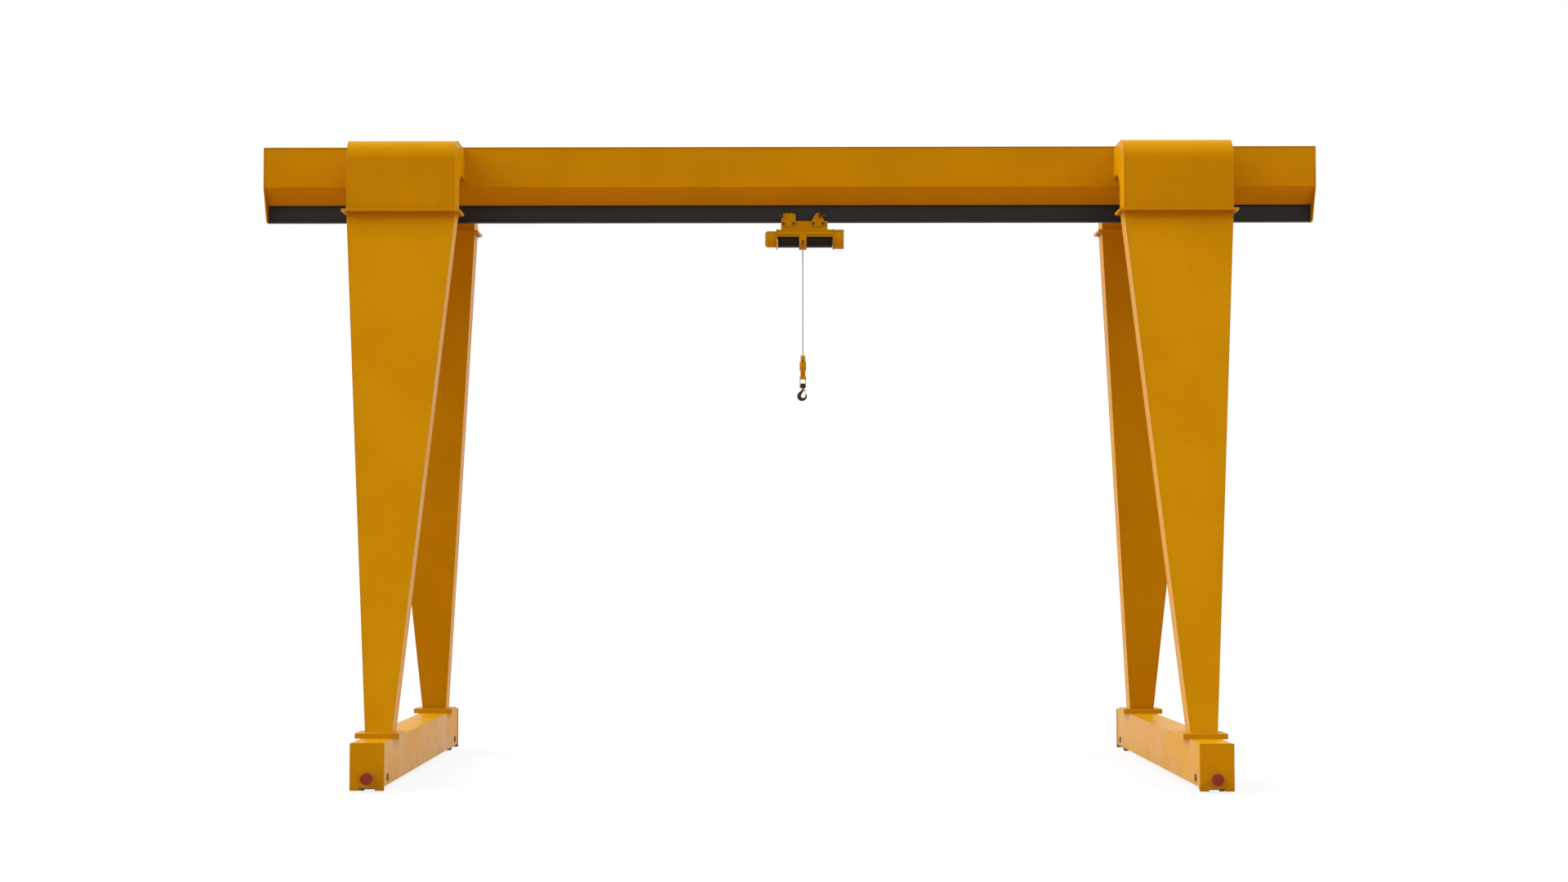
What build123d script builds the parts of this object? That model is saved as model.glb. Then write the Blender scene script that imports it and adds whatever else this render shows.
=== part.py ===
# Single-girder gantry crane with an electric rope hoist, in millimetres.
# +X runs along the girder, +Y from the front legs to the rear legs, +Z up.
# The origin is on the ground, halfway between the two carriages.

import os
from math import cos, radians, sin, sqrt

from build123d import *

os.makedirs("parts", exist_ok=True)

# Driving dimensions of the crane
rail_span = 12000
girder_length = 16632
girder_top_z = 9822
carriage_length = 9200

sides = {"left": -1, "right": 1}
ends = {"front": -1, "rear": 1}

# Travel wheels and the carriages that carry them
rail_x = rail_span / 2
wheel_y = 4170
wheel_flange_r = 194
wheel_tread_r = 173
wheel_width = 350
wheel_tread_width = 186
wheel_tread_run = 8
wheel_rim_bevel = 14
wheel_hub_r = 76
wheel_web_r = 142
wheel_recess = 26
wheel_recess_run = 10
wheel_z = wheel_flange_r
axle_r = 35
axle_cap_r = 53
axle_cap_t = 12
running_gap = 0.05

carriage_width = 465
carriage_bottom_z = 86
carriage_top_z = 705
carriage_wall = 10
wheel_well_length = 440
wheel_well_width = 380

carriage_plate_t = 20
carriage_plate_width = 490
carriage_plate_bottom_z = 34
carriage_plate_top_z = 702
carriage_body_length = carriage_length - 2 * carriage_plate_t
rail_notch_width = 225
rail_notch_height = 40

buffer_r = 82
buffer_length = 95
buffer_z = 205

# Legs: tapered box columns that lean in towards the girder
pad_size = 647
pad_t = 78
leg_foot_z = carriage_top_z + pad_t
leg_foot_outer_x = 6187
leg_foot_inner_x = 5797
leg_foot_y = 3298
leg_head_z = 8644
leg_head_outer_x = 6806
leg_head_inner_x = 5134
leg_head_y = 1375
leg_depth = 440
leg_plate_t = 6

# Bolted joint between each leg and its saddle
joint_plate_length = 1814
joint_plate_depth = 694
joint_plate_t = 18
joint_plate_y = 1365

# Saddles: bent box brackets from the leg heads up and in to the girder webs
saddle_base_z = leg_head_z + 2 * joint_plate_t
saddle_width = leg_head_outer_x - leg_head_inner_x
saddle_x = (leg_head_outer_x + leg_head_inner_x) / 2
saddle_front_y = 1607
saddle_back_y = 1122
saddle_top_z = 9782
saddle_under_z = 9316
saddle_outer_r = 320
saddle_inner_r = 330
saddle_plate_t = 8

# Girder: a folded trough closed by a top plate, with the runway beam below
girder_web_y = 390
girder_plate_t = 8
girder_cap_t = 10
girder_cap_overhang = 8
girder_kink_z = 9186
trough_floor_half = 75
trough_floor_z = 8945
girder_end_t = 20
girder_inner_half = girder_length / 2 - girder_end_t

beam_height = 280
beam_width = 124
beam_web_t = 10
beam_flange_t = 14
beam_root_r = 11
beam_bottom_z = trough_floor_z - beam_height
end_plate_foot_half = 130
end_plate_toe_z = 8700
end_plate_toe_half = 100

# Hoist, hung under the runway beam
drum_z = 8400
rope_x = 227
rope_r = 6.5
casing_r = 157
casing_wall = 7
casing_left_x = -187
casing_right_x = 711
casing_edge_z = 8425
casing_slit_z = 8452
casing_slit_height = 9
casing_slit_margin = 17
casing_ring_r = 168
casing_ring_t = 16

gearbox_r = 130
gearbox_length = 181
gearbox_bevel = 25
gearbox_recess_r = 68
motor_r = 155
motor_length = 165
motor_bevel = 4
motor_recess_r = 124
cover_recess = 7

drum_core_r = 125
drum_wound_r = drum_core_r + 2 * rope_r
rope_gap_half = 22
rope_fall_y = drum_core_r + rope_r + 0.5
rope_slot_length = 80
rope_slot_y = rope_fall_y + 20

guide_width = 118
guide_outer_r = 170
guide_inner_r = 144
guide_top_z = 8466
guide_slot_width = 21
guide_slot_top_z = 8367

cradle_left_x = -118
cradle_right_x = 621
cradle_half = 80
cradle_wall = 12
cradle_bottom_z = drum_z + sqrt(casing_r**2 - cradle_half**2)
cradle_top_z = 8684

trolley_plate_t = 16
trolley_plate_bottom_z = 8597
square_plate_x = 0
square_plate_outline = [
    (-102, 0), (88, 0), (114, 50), (114, 181), (94, 203), (11, 215),
    (11, 195), (-11, 195), (-11, 215), (-100, 203), (-114, 155), (-114, 12),
]
square_plate_round = 8
peaked_plate_x = 470
peaked_plate_outline = [
    (-94, 0), (88, 0), (114, 50), (114, 63), (52, 181),
    (28, 215), (-28, 215), (-52, 181), (-114, 63), (-114, 30),
]
peaked_plate_round = 12
tie_z = 8641
tie_reach = 78
tie_r = 15
tie_head_r = 23
tie_head_t = 9
trolley_wheel_r = 45
trolley_wheel_reach = 54
trolley_wheel_inner_y = 16
trolley_wheel_width = 42
trolley_wheel_gap = 0.5
trolley_buffer_r = 19
trolley_buffer_z = 8765
trolley_buffer_left_x = -149
trolley_buffer_right_x = 593
left_bracket_x = -97
right_bracket_x = 497
trolley_bracket_length = 28
trolley_bracket_depth = 40
trolley_bracket_height = 58

# Hook block
block_z = 6377
block_r = 172
block_width = 76
block_boss_r = 70
block_boss_width = 98
block_bevel = 9
block_tongue_half = 62
block_tongue_z = 6166
block_slot_width = 21
block_slot_z = 6430
strap_t = 11
strap_half = 45
strap_top_z = 6202
strap_bottom_z = 6025
crosshead_r = 36
crosshead_top_z = 6098
trunnion_r = 15
trunnion_z = 6062
rope_end_z = 6445

# Hook and its latch
shank_r = 14
shank_top_z = 6080
shank_root = 20
neck_inner = (7, 5972)
neck_outer = (-22, 5994)
neck_shoulder_z = 5998
hook_thickness = 36
hook_core_half = 9
hook_draft = 38
bowl_z = 5905
bowl_r = 34
bowl_dx = 5
back_z = 5897
back_r = 78
back_dx = -14
tip_outer = (62, 5916)
tip_top = (56, 5933)
tip_inner = (41, 5927)
latch_t = 5
latch_cheek_t = 4
latch_side_gap = 0.5
latch_pin_r = 4
latch_eye = 8
latch_pin_dx = 4
latch_pin_z = 5994


# Girder trough: two webs folded in below to a narrow floor on the runway beam
web_top_z = girder_top_z - girder_cap_t
with BuildPart() as girder_trough:
    with BuildSketch(Plane.YZ.offset(-girder_inner_half)):
        with BuildLine():
            Polyline(
                (0, trough_floor_z),
                (trough_floor_half, trough_floor_z),
                (girder_web_y, girder_kink_z),
                (girder_web_y, web_top_z),
                (0, web_top_z),
            )
            mirror(about=Plane.YZ)
        make_face()
        offset(amount=-girder_plate_t, kind=Kind.INTERSECTION, mode=Mode.SUBTRACT)
        with Locations((0, web_top_z)):
            Rectangle(2 * (girder_web_y - girder_plate_t), 4 * girder_plate_t, mode=Mode.SUBTRACT)
    extrude(amount=2 * girder_inner_half)
girder_trough.part.label = "girder_trough"
export_step(girder_trough.part, "parts/girder_trough.step")

# Girder top plate, a little wider than the webs it is welded to
with BuildPart() as girder_top_plate:
    with BuildSketch(Plane.XY.offset(web_top_z)):
        Rectangle(2 * girder_inner_half, 2 * (girder_web_y + girder_cap_overhang))
    extrude(amount=girder_cap_t)
girder_top_plate.part.label = "girder_top_plate"
export_step(girder_top_plate.part, "parts/girder_top_plate.step")

# Runway beam: a rolled I section whose lower flange carries the trolley wheels
with BuildPart() as runway_beam:
    beam_mid_z = beam_bottom_z + beam_height / 2
    with BuildSketch(Plane.YZ.offset(-girder_inner_half)) as beam_section:
        with Locations((0, beam_mid_z)):
            Rectangle(beam_width, beam_height)
        recess_y = (beam_width + beam_web_t) / 4
        with Locations((-recess_y, beam_mid_z), (recess_y, beam_mid_z)):
            Rectangle(
                (beam_width - beam_web_t) / 2,
                beam_height - 2 * beam_flange_t,
                mode=Mode.SUBTRACT,
            )
        roots = beam_section.vertices().filter_by(lambda v: abs(v.X) < beam_web_t)
        fillet(roots, beam_root_r)
    extrude(amount=2 * girder_inner_half)
runway_beam.part.label = "runway_beam"
export_step(runway_beam.part, "parts/runway_beam.step")

# Girder end plates, shaped to the girder and run down past the beam as trolley stops
for side, sx in sides.items():
    with BuildPart() as girder_end_plate:
        with BuildSketch(Plane.YZ.offset(sx * girder_inner_half)):
            with BuildLine():
                Polyline(
                    (0, beam_bottom_z),
                    (end_plate_toe_half, beam_bottom_z),
                    (end_plate_foot_half, end_plate_toe_z),
                    (girder_web_y, girder_kink_z),
                    (girder_web_y, girder_top_z),
                    (0, girder_top_z),
                )
                mirror(about=Plane.YZ)
            make_face()
        extrude(amount=sx * girder_end_t)
    girder_end_plate.part.label = f"girder_end_plate_{side}"
    export_step(girder_end_plate.part, f"parts/girder_end_plate_{side}.step")


def saddle_outline(sy, inset, overrun):
    """The bent bracket seen along X, drawn in by inset, with its two open ends run out by overrun."""
    web_y = girder_web_y - overrun
    base_z = saddle_base_z - overrun
    with BuildSketch() as outline:
        with BuildLine():
            back = FilletPolyline(
                (sy * web_y, saddle_under_z + inset),
                (sy * (saddle_back_y + inset), saddle_under_z + inset),
                (sy * (saddle_back_y + inset), base_z),
                radius=saddle_inner_r + inset,
            )
            front = FilletPolyline(
                (sy * (saddle_front_y - inset), base_z),
                (sy * (saddle_front_y - inset), saddle_top_z - inset),
                (sy * web_y, saddle_top_z - inset),
                radius=saddle_outer_r - inset,
            )
            Line(back @ 1, front @ 0)
            Line(front @ 1, back @ 0)
        make_face()
    return outline.sketch


# Saddles: welded box brackets, open where they meet the girder web and the joint plate
for side, sx in sides.items():
    for end, sy in ends.items():
        outer = saddle_outline(sy, 0, 0)
        hollow = saddle_outline(sy, saddle_plate_t, 5)
        with BuildPart() as saddle:
            with BuildSketch(Plane.YZ.offset(sx * saddle_x - saddle_width / 2)):
                add(outer)
            extrude(amount=saddle_width)
            with BuildSketch(Plane.YZ.offset(sx * saddle_x - saddle_width / 2 + saddle_plate_t)):
                add(hollow)
            extrude(amount=saddle_width - 2 * saddle_plate_t, mode=Mode.SUBTRACT)
        saddle.part.label = f"saddle_{end}_{side}"
        export_step(saddle.part, f"parts/saddle_{end}_{side}.step")

# Joint plates: the leg's head plate and the saddle's base plate, bolted face to face
for side, sx in sides.items():
    for end, sy in ends.items():
        with BuildPart() as joint_plates:
            with BuildSketch(Plane.XY.offset(leg_head_z)):
                with Locations((sx * saddle_x, sy * joint_plate_y)):
                    Rectangle(joint_plate_length, joint_plate_depth)
            extrude(amount=2 * joint_plate_t)
        joint_plates.part.label = f"joint_plates_{end}_{side}"
        export_step(joint_plates.part, f"parts/joint_plates_{end}_{side}.step")

# Legs: tapered plate boxes, open at both ends where the pads and joint plates close them
leg_foot = (leg_foot_z, leg_foot_outer_x, leg_foot_inner_x, leg_foot_y)
leg_head = (leg_head_z, leg_head_outer_x, leg_head_inner_x, leg_head_y)
for side, sx in sides.items():
    for end, sy in ends.items():
        with BuildPart() as leg:
            for inset, mode in ((0, Mode.ADD), (leg_plate_t, Mode.SUBTRACT)):
                for z, outer_x, inner_x, y in (leg_foot, leg_head):
                    with BuildSketch(Plane.XY.offset(z)):
                        with Locations((sx * (outer_x + inner_x) / 2, sy * y)):
                            Rectangle(outer_x - inner_x - 2 * inset, leg_depth - 2 * inset)
                loft(mode=mode)
        leg.part.label = f"leg_{end}_{side}"
        export_step(leg.part, f"parts/leg_{end}_{side}.step")

# Foot pads: thick square plates between each leg and its carriage
for side, sx in sides.items():
    with BuildPart() as foot_pads:
        with BuildSketch(Plane.XY.offset(carriage_top_z)):
            with Locations((sx * rail_x, -leg_foot_y), (sx * rail_x, leg_foot_y)):
                Rectangle(pad_size, pad_size)
        extrude(amount=pad_t)
    foot_pads.part.label = f"foot_pads_{side}"
    export_step(foot_pads.part, f"parts/foot_pads_{side}.step")

# Carriages: box beams with a wheel well in the floor near each end
carriage_height = carriage_top_z - carriage_bottom_z
for side, sx in sides.items():
    with BuildPart() as carriage:
        with BuildSketch(Plane.XZ.offset(-carriage_body_length / 2)):
            with Locations((sx * rail_x, carriage_bottom_z + carriage_height / 2)):
                Rectangle(carriage_width, carriage_height)
                Rectangle(
                    carriage_width - 2 * carriage_wall,
                    carriage_height - 2 * carriage_wall,
                    mode=Mode.SUBTRACT,
                )
        extrude(amount=carriage_body_length)
        with BuildSketch(Plane.XY.offset(carriage_bottom_z)):
            with Locations((sx * rail_x, -wheel_y), (sx * rail_x, wheel_y)):
                Rectangle(wheel_well_width, wheel_well_length)
        extrude(amount=carriage_wall, mode=Mode.SUBTRACT)
        with BuildSketch(Plane.YZ.offset(sx * rail_x - carriage_width / 2)):
            with Locations((-wheel_y, wheel_z), (wheel_y, wheel_z)):
                Circle(axle_r)
        extrude(amount=carriage_width, mode=Mode.SUBTRACT)
    carriage.part.label = f"carriage_{side}"
    export_step(carriage.part, f"parts/carriage_{side}.step")

# Carriage end plates, notched at the bottom for the rail head
carriage_plate_height = carriage_plate_top_z - carriage_plate_bottom_z
for side, sx in sides.items():
    with BuildPart() as carriage_end_plates:
        for end_plane in (
            Plane.XZ.offset(carriage_length / 2 - carriage_plate_t),
            Plane.XZ.offset(-carriage_length / 2),
        ):
            with BuildSketch(end_plane):
                with Locations((sx * rail_x, carriage_plate_bottom_z + carriage_plate_height / 2)):
                    Rectangle(carriage_plate_width, carriage_plate_height)
                with Locations((sx * rail_x, carriage_plate_bottom_z + rail_notch_height / 2)):
                    Rectangle(rail_notch_width, rail_notch_height, mode=Mode.SUBTRACT)
            extrude(amount=carriage_plate_t)
    carriage_end_plates.part.label = f"carriage_end_plates_{side}"
    export_step(carriage_end_plates.part, f"parts/carriage_end_plates_{side}.step")

# Carriage buffers: round rubber blocks on the end plates
for side, sx in sides.items():
    with BuildPart() as carriage_buffers:
        for end_plane in (
            Plane.XZ.offset(carriage_length / 2),
            Plane.XZ.offset(-carriage_length / 2 - buffer_length),
        ):
            with BuildSketch(end_plane):
                with Locations((sx * rail_x, buffer_z)):
                    Circle(buffer_r)
            extrude(amount=buffer_length)
    carriage_buffers.part.label = f"carriage_buffers_{side}"
    export_step(carriage_buffers.part, f"parts/carriage_buffers_{side}.step")

# Wheel axles: shafts held in the carriage walls, with a round cap outside each wall
for side, sx in sides.items():
    with BuildPart() as wheel_axles:
        with BuildSketch(Plane.YZ.offset(sx * rail_x - carriage_width / 2)):
            with Locations((-wheel_y, wheel_z), (wheel_y, wheel_z)):
                Circle(axle_r)
        extrude(amount=carriage_width)
        for cap_x in (-carriage_width / 2 - axle_cap_t, carriage_width / 2):
            with BuildSketch(Plane.YZ.offset(sx * rail_x + cap_x)):
                with Locations((-wheel_y, wheel_z), (wheel_y, wheel_z)):
                    Circle(axle_cap_r)
            extrude(amount=axle_cap_t)
    wheel_axles.part.label = f"wheel_axles_{side}"
    export_step(wheel_axles.part, f"parts/wheel_axles_{side}.step")

# Travel wheels: double-flanged castings, dished between hub and rim and turned on the tread
for side, sx in sides.items():
    for end, sy in ends.items():
        with BuildPart() as travel_wheel:
            with BuildSketch(Plane.XY.offset(wheel_z)):
                with BuildLine():
                    Polyline(
                        (0, sy * wheel_y + axle_r + running_gap),
                        (wheel_width / 2, sy * wheel_y + axle_r + running_gap),
                        (wheel_width / 2, sy * wheel_y + wheel_hub_r),
                        (wheel_width / 2 - wheel_recess, sy * wheel_y + wheel_hub_r + wheel_recess_run),
                        (wheel_width / 2 - wheel_recess, sy * wheel_y + wheel_web_r),
                        (wheel_width / 2, sy * wheel_y + wheel_web_r + wheel_recess_run),
                        (wheel_width / 2, sy * wheel_y + wheel_flange_r - wheel_rim_bevel),
                        (wheel_width / 2 - wheel_rim_bevel, sy * wheel_y + wheel_flange_r),
                        (wheel_tread_width / 2 + wheel_tread_run, sy * wheel_y + wheel_flange_r),
                        (wheel_tread_width / 2, sy * wheel_y + wheel_tread_r),
                        (0, sy * wheel_y + wheel_tread_r),
                    )
                    mirror(about=Plane.YZ)
                make_face()
            revolve(axis=Axis((0, sy * wheel_y, wheel_z), (1, 0, 0)))
        travel_wheel = travel_wheel.part.moved(Location((sx * rail_x, 0, 0)))
        travel_wheel.label = f"travel_wheel_{end}_{side}"
        export_step(travel_wheel, f"parts/travel_wheel_{end}_{side}.step")

# Hoist casing: an open-bottomed shell over the drum, slit above each window
casing_length = casing_right_x - casing_left_x - casing_ring_t
with BuildPart() as drum_casing:
    with BuildSketch(Plane.YZ.offset(casing_left_x + casing_ring_t / 2)):
        with Locations((0, drum_z)):
            Circle(casing_r)
            Circle(casing_r - casing_wall, mode=Mode.SUBTRACT)
        with Locations((0, casing_edge_z - casing_r)):
            Rectangle(2 * casing_r, 2 * casing_r, mode=Mode.SUBTRACT)
    extrude(amount=casing_length)
    for slit_left, slit_right in (
        (casing_left_x + casing_slit_margin, rope_x - guide_width / 2),
        (rope_x + guide_width / 2, casing_right_x - casing_slit_margin),
    ):
        with BuildSketch(Plane.XZ):
            with Locations(((slit_left + slit_right) / 2, casing_slit_z)):
                Rectangle(slit_right - slit_left, casing_slit_height)
        extrude(amount=casing_r, mode=Mode.SUBTRACT)
drum_casing.part.label = "drum_casing"
export_step(drum_casing.part, "parts/drum_casing.step")

# Casing rings: the round flanges that join the casing to the gearbox and the motor
with BuildPart() as casing_rings:
    for ring_x in (casing_left_x, casing_right_x):
        with BuildSketch(Plane.YZ.offset(ring_x - casing_ring_t / 2)):
            with Locations((0, drum_z)):
                Circle(casing_ring_r)
        extrude(amount=casing_ring_t)
casing_rings.part.label = "casing_rings"
export_step(casing_rings.part, "parts/casing_rings.step")

# Gearbox housing with a bevelled outer end and a dished cover
with BuildPart() as gearbox_housing:
    with BuildSketch(Plane.YZ.offset(casing_left_x - casing_ring_t / 2)):
        with Locations((0, drum_z)):
            Circle(gearbox_r)
    extrude(amount=-gearbox_length + casing_ring_t / 2)
    chamfer(gearbox_housing.faces().sort_by(Axis.X)[0].edges(), gearbox_bevel)
    with BuildSketch(Plane.YZ.offset(casing_left_x - gearbox_length)):
        with Locations((0, drum_z)):
            Circle(gearbox_recess_r)
    extrude(amount=cover_recess, mode=Mode.SUBTRACT)
gearbox_housing.part.label = "gearbox_housing"
export_step(gearbox_housing.part, "parts/gearbox_housing.step")

# Motor housing with a dished end cover
with BuildPart() as motor_housing:
    with BuildSketch(Plane.YZ.offset(casing_right_x + casing_ring_t / 2)):
        with Locations((0, drum_z)):
            Circle(motor_r)
    extrude(amount=motor_length - casing_ring_t / 2)
    chamfer(motor_housing.faces().sort_by(Axis.X)[-1].edges(), motor_bevel)
    with BuildSketch(Plane.YZ.offset(casing_right_x + motor_length)):
        with Locations((0, drum_z)):
            Circle(motor_recess_r)
    extrude(amount=-cover_recess, mode=Mode.SUBTRACT)
motor_housing.part.label = "motor_housing"
export_step(motor_housing.part, "parts/motor_housing.step")

# Rope guide: a half ring under the drum, slotted for the two falls of rope
with BuildPart() as rope_guide:
    with BuildSketch(Plane.YZ.offset(rope_x - guide_width / 2)):
        with Locations((0, drum_z)):
            Circle(guide_outer_r)
            Circle(guide_inner_r, mode=Mode.SUBTRACT)
        with Locations((0, guide_top_z + guide_outer_r)):
            Rectangle(2 * guide_outer_r, 2 * guide_outer_r, mode=Mode.SUBTRACT)
    extrude(amount=guide_width)
    with BuildSketch(Plane.YZ.offset(rope_x - guide_width / 2)):
        with Locations((0, drum_z)):
            Circle(casing_r)
        with Locations((0, casing_edge_z - casing_r)):
            Rectangle(2 * casing_r, 2 * casing_r, mode=Mode.SUBTRACT)
    extrude(amount=guide_width, mode=Mode.SUBTRACT)
    with BuildSketch(Plane.XY.offset(drum_z - guide_outer_r)):
        with Locations((rope_x, -rope_slot_y), (rope_x, rope_slot_y)):
            Rectangle(guide_slot_width, rope_slot_length)
    extrude(amount=guide_slot_top_z - drum_z + guide_outer_r, mode=Mode.SUBTRACT)
rope_guide.part.label = "rope_guide"
export_step(rope_guide.part, "parts/rope_guide.step")

# Rope drum with the wound rope on both sides of the running fall
drum_left_x = casing_left_x + casing_ring_t / 2 + 6
drum_right_x = casing_right_x - casing_ring_t / 2 - 6
with BuildPart() as rope_drum:
    with BuildSketch(Plane.XY.offset(drum_z)):
        with BuildLine():
            Polyline(
                (drum_left_x, 0),
                (drum_left_x, drum_wound_r),
                (rope_x - rope_gap_half, drum_wound_r),
                (rope_x - rope_gap_half, drum_core_r),
                (rope_x + rope_gap_half, drum_core_r),
                (rope_x + rope_gap_half, drum_wound_r),
                (drum_right_x, drum_wound_r),
                (drum_right_x, 0),
                close=True,
            )
        make_face()
    revolve(axis=Axis((0, 0, drum_z), (1, 0, 0)))
rope_drum.part.label = "rope_drum"
export_step(rope_drum.part, "parts/rope_drum.step")

# Hoist rope: two straight falls, one behind the other
with BuildPart() as hoist_rope:
    with BuildSketch(Plane.XY.offset(rope_end_z)):
        with Locations((rope_x, -rope_fall_y), (rope_x, rope_fall_y)):
            Circle(rope_r)
    extrude(amount=drum_z - rope_end_z)
hoist_rope.part.label = "hoist_rope"
export_step(hoist_rope.part, "parts/hoist_rope.step")

tie_places = [
    (plate_x + reach, tie_z)
    for plate_x in (square_plate_x, peaked_plate_x)
    for reach in (-tie_reach, tie_reach)
]

# Cradle: the open channel between the casing and the trolley plates
with BuildPart() as hoist_cradle:
    with BuildSketch(Plane.YZ.offset(cradle_left_x)):
        with Locations((0, (cradle_bottom_z + cradle_top_z) / 2)):
            Rectangle(2 * cradle_half, cradle_top_z - cradle_bottom_z)
        with Locations((0, cradle_top_z)):
            Rectangle(
                2 * (cradle_half - cradle_wall),
                2 * (cradle_top_z - drum_z - casing_r - cradle_wall),
                mode=Mode.SUBTRACT,
            )
        with Locations((0, drum_z)):
            Circle(casing_r, mode=Mode.SUBTRACT)
    extrude(amount=cradle_right_x - cradle_left_x)
    with BuildSketch(Plane.XZ.offset(-cradle_half)):
        with Locations(*tie_places):
            Circle(tie_r)
    extrude(amount=2 * cradle_half, mode=Mode.SUBTRACT)
hoist_cradle.part.label = "hoist_cradle"
export_step(hoist_cradle.part, "parts/hoist_cradle.step")

# Trolley plates: one square and one peaked plate on each face of the cradle
for end, sy in ends.items():
    with BuildPart() as trolley_plates:
        plate_plane = Plane.XZ.offset(cradle_half if sy < 0 else -cradle_half - trolley_plate_t)
        with BuildSketch(plate_plane) as square_plate:
            with Locations((square_plate_x, trolley_plate_bottom_z)):
                Polygon(*square_plate_outline, align=None)
            corners = square_plate.vertices().filter_by(lambda v: abs(v.X - square_plate_x) > 20)
            fillet(corners, square_plate_round)
        extrude(amount=trolley_plate_t)
        with BuildSketch(plate_plane) as peaked_plate:
            with Locations((peaked_plate_x, trolley_plate_bottom_z)):
                Polygon(*peaked_plate_outline, align=None)
            upper = peaked_plate.vertices().filter_by(lambda v: v.Z > trolley_plate_bottom_z + 100)
            fillet(upper, peaked_plate_round)
        extrude(amount=trolley_plate_t)
        with BuildSketch(plate_plane):
            with Locations(*tie_places):
                Circle(tie_r)
        extrude(amount=trolley_plate_t, mode=Mode.SUBTRACT)
    trolley_plates.part.label = f"trolley_plates_{end}"
    export_step(trolley_plates.part, f"parts/trolley_plates_{end}.step")

# Tie bolts: long bolts through the plates and the cradle, with a round head on each side
tie_face_y = cradle_half + trolley_plate_t
with BuildPart() as trolley_ties:
    with BuildSketch(Plane.XZ.offset(-tie_face_y)):
        with Locations(*tie_places):
            Circle(tie_r)
    extrude(amount=2 * tie_face_y)
    for head_plane in (Plane.XZ.offset(tie_face_y), Plane.XZ.offset(-tie_face_y - tie_head_t)):
        with BuildSketch(head_plane):
            with Locations(*tie_places):
                Circle(tie_head_r)
        extrude(amount=tie_head_t)
trolley_ties.part.label = "trolley_ties"
export_step(trolley_ties.part, "parts/trolley_ties.step")

# Trolley wheels: flat rollers on the lower flange of the beam, on stubs from the plates
trolley_wheel_z = beam_bottom_z + beam_flange_t + trolley_wheel_gap + trolley_wheel_r
trolley_wheel_outer_y = trolley_wheel_inner_y + trolley_wheel_width
with BuildPart() as trolley_wheels:
    for sy in ends.values():
        for plate_x in (square_plate_x, peaked_plate_x):
            for wheel_x in (plate_x - trolley_wheel_reach, plate_x + trolley_wheel_reach):
                with BuildSketch(Plane.YZ.offset(wheel_x)):
                    with Locations((0, trolley_wheel_z)):
                        Polygon(
                            (sy * trolley_wheel_inner_y, 0),
                            (sy * trolley_wheel_inner_y, trolley_wheel_r),
                            (sy * trolley_wheel_outer_y, trolley_wheel_r),
                            (sy * trolley_wheel_outer_y, tie_r),
                            (sy * cradle_half, tie_r),
                            (sy * cradle_half, 0),
                            align=None,
                        )
                revolve(axis=Axis((wheel_x, 0, trolley_wheel_z), (0, 1, 0)))
trolley_wheels.part.label = "trolley_wheels"
export_step(trolley_wheels.part, "parts/trolley_wheels.step")

# Trolley buffers: rubber rods that meet the girder end plates, and the brackets that hold them
buffer_y = cradle_half + trolley_plate_t + trolley_bracket_depth / 2
with BuildPart() as buffer_brackets:
    for bracket_x in (left_bracket_x, right_bracket_x):
        with BuildSketch(Plane.YZ.offset(bracket_x - trolley_bracket_length / 2)):
            with Locations((-buffer_y, trolley_buffer_z), (buffer_y, trolley_buffer_z)):
                Rectangle(trolley_bracket_depth, trolley_bracket_height)
        extrude(amount=trolley_bracket_length)
buffer_brackets.part.label = "buffer_brackets"
export_step(buffer_brackets.part, "parts/buffer_brackets.step")

with BuildPart() as trolley_buffers:
    for root_x, tip_x in (
        (left_bracket_x - trolley_bracket_length / 2, trolley_buffer_left_x),
        (right_bracket_x + trolley_bracket_length / 2, trolley_buffer_right_x),
    ):
        with BuildSketch(Plane.YZ.offset(root_x)):
            with Locations((-buffer_y, trolley_buffer_z), (buffer_y, trolley_buffer_z)):
                Circle(trolley_buffer_r)
        extrude(amount=tip_x - root_x)
trolley_buffers.part.label = "trolley_buffers"
export_step(trolley_buffers.part, "parts/trolley_buffers.step")

# Hook block cover: a round bevelled housing for the sheave, slotted on top for both falls of rope
with BuildPart() as block_cover:
    with BuildSketch(Plane.YZ.offset(rope_x - block_width / 2)):
        with Locations((0, block_z)):
            Circle(block_r)
        with Locations((0, (block_z + block_tongue_z) / 2)):
            Rectangle(2 * block_tongue_half, block_z - block_tongue_z)
    extrude(amount=block_width)
    rims = block_cover.edges().filter_by(GeomType.CIRCLE)
    chamfer(rims, block_bevel)
    with BuildSketch(Plane.YZ.offset(rope_x - block_boss_width / 2)):
        with Locations((0, block_z)):
            Circle(block_boss_r)
    extrude(amount=block_boss_width)
    with BuildSketch(Plane.XY.offset(block_slot_z)):
        with Locations((rope_x, -rope_slot_y), (rope_x, rope_slot_y)):
            Rectangle(block_slot_width, rope_slot_length)
    extrude(amount=block_r, mode=Mode.SUBTRACT)
block_cover.part.label = "block_cover"
export_step(block_cover.part, "parts/block_cover.step")

# Straps: two side plates that hang the crosshead from the cover
strap_face_x = block_width / 2
with BuildPart() as block_straps:
    for strap_x in (rope_x - strap_face_x - strap_t, rope_x + strap_face_x):
        with BuildSketch(Plane.YZ.offset(strap_x)):
            with Locations((0, (strap_top_z + strap_bottom_z) / 2)):
                Rectangle(2 * strap_half, strap_top_z - strap_bottom_z)
            with Locations((0, trunnion_z)):
                Circle(trunnion_r, mode=Mode.SUBTRACT)
        extrude(amount=strap_t)
block_straps.part.label = "block_straps"
export_step(block_straps.part, "parts/block_straps.step")

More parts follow.
